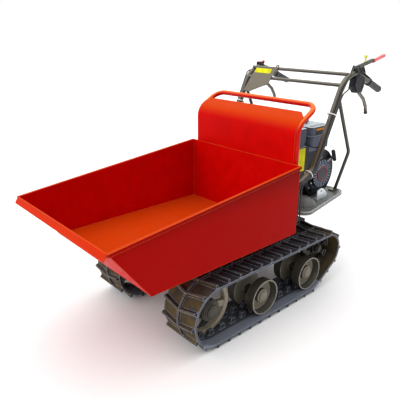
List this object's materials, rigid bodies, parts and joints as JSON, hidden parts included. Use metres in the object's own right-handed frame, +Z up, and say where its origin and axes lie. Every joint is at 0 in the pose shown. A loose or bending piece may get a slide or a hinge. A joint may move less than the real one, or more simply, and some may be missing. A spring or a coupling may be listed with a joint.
{
  "type": "tracked power carrier",
  "caption": "Walk-behind tracked carrier: tipping open skip with a back guard on rubber crawler tracks, small engine on a rear bed, and handlebars with control levers.",
  "frame": {"origin": "on the ground, under the middle of the bounding box", "axes": "+Y to the operator behind, -Y to the skip lip in front, +X to the operator's left, +Z up"},
  "size_m": [0.674, 1.5516, 1.0319],
  "materials": {
    "skip_red": "gloss red paint",
    "frame_black": "satin black paint",
    "tube_olive": "gloss dark olive-grey paint",
    "bed_grey": "satin olive-grey paint",
    "wheel_paint": "satin olive-grey paint, worn bright at the rims",
    "sprocket_steel": "worn dark steel",
    "steel": "zinc-plated steel",
    "track_rubber": "dull moulded rubber",
    "soft_rubber": "dark grey rubber",
    "cast_case": "grey painted casting",
    "engine_alloy": "die-cast alloy",
    "engine_black": "black enamel",
    "engine_navy": "dark navy enamel",
    "black_plastic": "moulded black plastic",
    "muffler_steel": "heat-dulled steel",
    "red_plastic": "gloss red plastic",
    "yellow_plastic": "gloss yellow plastic",
    "white_plastic": "natural nylon"
  },
  "bodies": {
    "chassis": {"main_frame": "frame_black", "wheel_axles": "wheel_paint", "tension_screws": "steel", "skip_rests": "soft_rubber", "left_track": "track_rubber", "right_track": "track_rubber", "gearbox": "cast_case", "tip_pins": "steel", "engine_bed": "bed_grey", "bed_cover": "bed_grey", "anchor_bracket": "steel", "engine_block": "engine_alloy", "rocker_cover": "engine_black", "fan_shroud": "engine_navy", "recoil_cover": "engine_navy", "fuel_tank": "engine_navy", "air_cleaner": "engine_navy", "muffler": "muffler_steel", "carburettor": "engine_alloy", "engine_bolts": "steel", "belt_cover": "frame_black", "drive_belt": "soft_rubber", "left_handlebar": "tube_olive", "right_handlebar": "tube_olive", "cross_tubes": "tube_olive", "braces": "tube_olive", "grips": "soft_rubber", "control_plate": "tube_olive", "lever_housings": "black_plastic", "clutch_bracket": "frame_black", "control_cables": "soft_rubber", "cable_ties": "white_plastic"},
    "skip": {"skip": "skip_red", "guard_panel": "skip_red", "guard_tube": "skip_red"},
    "latch": {"latch_lever": "frame_black"},
    "left_drive": {"left_sprocket": "sprocket_steel", "left_drive_shaft": "steel"},
    "right_drive": {"right_sprocket": "sprocket_steel", "right_drive_shaft": "steel"},
    "left_idler": {"left_idler": "wheel_paint"},
    "right_idler": {"right_idler": "wheel_paint"},
    "left_front_roller": {"left_front_roller": "wheel_paint"},
    "left_rear_roller": {"left_rear_roller": "wheel_paint"},
    "right_front_roller": {"right_front_roller": "wheel_paint"},
    "right_rear_roller": {"right_rear_roller": "wheel_paint"},
    "left_steering": {"left_steering_lever": "wheel_paint"},
    "right_steering": {"right_steering_lever": "wheel_paint"},
    "clutch": {"clutch_lever": "sprocket_steel", "clutch_grip": "red_plastic"},
    "lock_button": {"lock_button": "yellow_plastic"},
    "throttle": {"throttle_lever": "red_plastic"},
    "recoil": {"recoil_handle": "black_plastic"},
    "fuel_cap": {"fuel_cap": "black_plastic"},
    "choke": {"choke_lever": "black_plastic"},
    "engine_switch": {"engine_switch": "black_plastic"},
    "oil_cap": {"oil_cap": "black_plastic"},
    "engine_pulley": {"engine_pulley": "sprocket_steel"},
    "gearbox_pulley": {"gearbox_pulley": "sprocket_steel"},
    "tension_arm": {"tension_arm": "steel"}
  },
  "joints": [
    {"name": "skip_tip", "type": "hinge", "parent": "chassis", "child": "skip", "pos_m": [0, -0.38383, 0.3], "axis": [1, 0, 0], "range_deg": [0, 65]},
    {"name": "latch_turn", "type": "hinge", "parent": "chassis", "child": "latch", "pos_m": [-0.03, 0.15517, 0.288], "axis": [1, 0, 0], "range_deg": [0, 9]},
    {"name": "left_idler_spin", "type": "hinge", "parent": "chassis", "child": "left_idler", "pos_m": [0.247, -0.31683, 0.139], "axis": [1, 0, 0], "continuous": true},
    {"name": "left_drive_spin", "type": "hinge", "parent": "chassis", "child": "left_drive", "pos_m": [0.247, 0.37017, 0.1755], "axis": [1, 0, 0], "continuous": true},
    {"name": "left_front_roller_spin", "type": "hinge", "parent": "chassis", "child": "left_front_roller", "pos_m": [0.247, -0.04183, 0.0995], "axis": [1, 0, 0], "continuous": true},
    {"name": "left_rear_roller_spin", "type": "hinge", "parent": "chassis", "child": "left_rear_roller", "pos_m": [0.247, 0.25917, 0.0995], "axis": [1, 0, 0], "continuous": true},
    {"name": "left_steering_squeeze", "type": "hinge", "parent": "chassis", "child": "left_steering", "pos_m": [0.27, 0.57409, 0.9003], "axis": [1, 0, 0], "range_deg": [0, 25], "stiffness_Nm_per_rad": 2, "springref_deg": -5.73},
    {"name": "right_idler_spin", "type": "hinge", "parent": "chassis", "child": "right_idler", "pos_m": [-0.247, -0.31683, 0.139], "axis": [1, 0, 0], "continuous": true},
    {"name": "right_drive_spin", "type": "hinge", "parent": "chassis", "child": "right_drive", "pos_m": [-0.247, 0.37017, 0.1755], "axis": [1, 0, 0], "continuous": true},
    {"name": "right_front_roller_spin", "type": "hinge", "parent": "chassis", "child": "right_front_roller", "pos_m": [-0.247, -0.04183, 0.0995], "axis": [1, 0, 0], "continuous": true},
    {"name": "right_rear_roller_spin", "type": "hinge", "parent": "chassis", "child": "right_rear_roller", "pos_m": [-0.247, 0.25917, 0.0995], "axis": [1, 0, 0], "continuous": true},
    {"name": "right_steering_squeeze", "type": "hinge", "parent": "chassis", "child": "right_steering", "pos_m": [-0.27, 0.57409, 0.9003], "axis": [1, 0, 0], "range_deg": [0, 25], "stiffness_Nm_per_rad": 2, "springref_deg": -5.73},
    {"name": "clutch_press", "type": "hinge", "parent": "chassis", "child": "clutch", "pos_m": [0.27, 0.54418, 0.98205], "axis": [1, 0, 0], "range_deg": [-20, 0], "stiffness_Nm_per_rad": 3, "springref_deg": 22.92},
    {"name": "lock_button_press", "type": "slide", "parent": "clutch", "child": "lock_button", "axis": [0, 0, 1], "range_m": [-0.003, 0], "stiffness_N_per_m": 400, "springref_m": 0.002},
    {"name": "throttle_turn", "type": "hinge", "parent": "chassis", "child": "throttle", "pos_m": [-0.27, 0.53217, 0.9758], "axis": [1, 0, 0], "range_deg": [0, 60]},
    {"name": "recoil_pull", "type": "slide", "parent": "chassis", "child": "recoil", "axis": [0, 0.9272, 0.3746], "range_m": [0, 0.5], "stiffness_N_per_m": 10, "springref_m": -0.4},
    {"name": "fuel_cap_turn", "type": "hinge", "parent": "chassis", "child": "fuel_cap", "pos_m": [0.076, 0.45617, 0.734], "axis": [0, 0, 1], "range_deg": [0, 90]},
    {"name": "choke_turn", "type": "hinge", "parent": "chassis", "child": "choke", "pos_m": [0.1, 0.27517, 0.606], "axis": [1, 0, 0], "range_deg": [-30, 0]},
    {"name": "engine_switch_turn", "type": "hinge", "parent": "chassis", "child": "engine_switch", "pos_m": [0.19, 0.39317, 0.436], "axis": [1, 0, 0], "range_deg": [0, 60]},
    {"name": "oil_cap_turn", "type": "hinge", "parent": "chassis", "child": "oil_cap", "pos_m": [0.03, 0.54917, 0.446], "axis": [0, 1, 0], "range_deg": [0, 90]},
    {"name": "gearbox_pulley_spin", "type": "hinge", "parent": "chassis", "child": "gearbox_pulley", "pos_m": [-0.109, 0.37617, 0.332], "axis": [1, 0, 0], "continuous": true},
    {"name": "engine_pulley_spin", "type": "hinge", "parent": "chassis", "child": "engine_pulley", "pos_m": [-0.109, 0.46117, 0.506], "axis": [1, 0, 0], "continuous": true},
    {"name": "tension_arm_turn", "type": "hinge", "parent": "chassis", "child": "tension_arm", "pos_m": [-0.096, 0.38008, 0.51514], "axis": [1, 0, 0], "range_deg": [0, 8.5]}
  ],
  "couplings": [
    {"joint": "left_drive_spin", "follows": "left_idler_spin", "ratio": 1.4345},
    {"joint": "left_front_roller_spin", "follows": "left_idler_spin", "ratio": 1.5752},
    {"joint": "left_rear_roller_spin", "follows": "left_idler_spin", "ratio": 1.4877},
    {"joint": "right_drive_spin", "follows": "right_idler_spin", "ratio": 1.4345},
    {"joint": "right_front_roller_spin", "follows": "right_idler_spin", "ratio": 1.5752},
    {"joint": "right_rear_roller_spin", "follows": "right_idler_spin", "ratio": 1.4877},
    {"joint": "engine_pulley_spin", "follows": "gearbox_pulley_spin", "ratio": 1.4286},
    {"joint": "tension_arm_turn", "follows": "clutch_press", "ratio": -0.42}
  ]
}
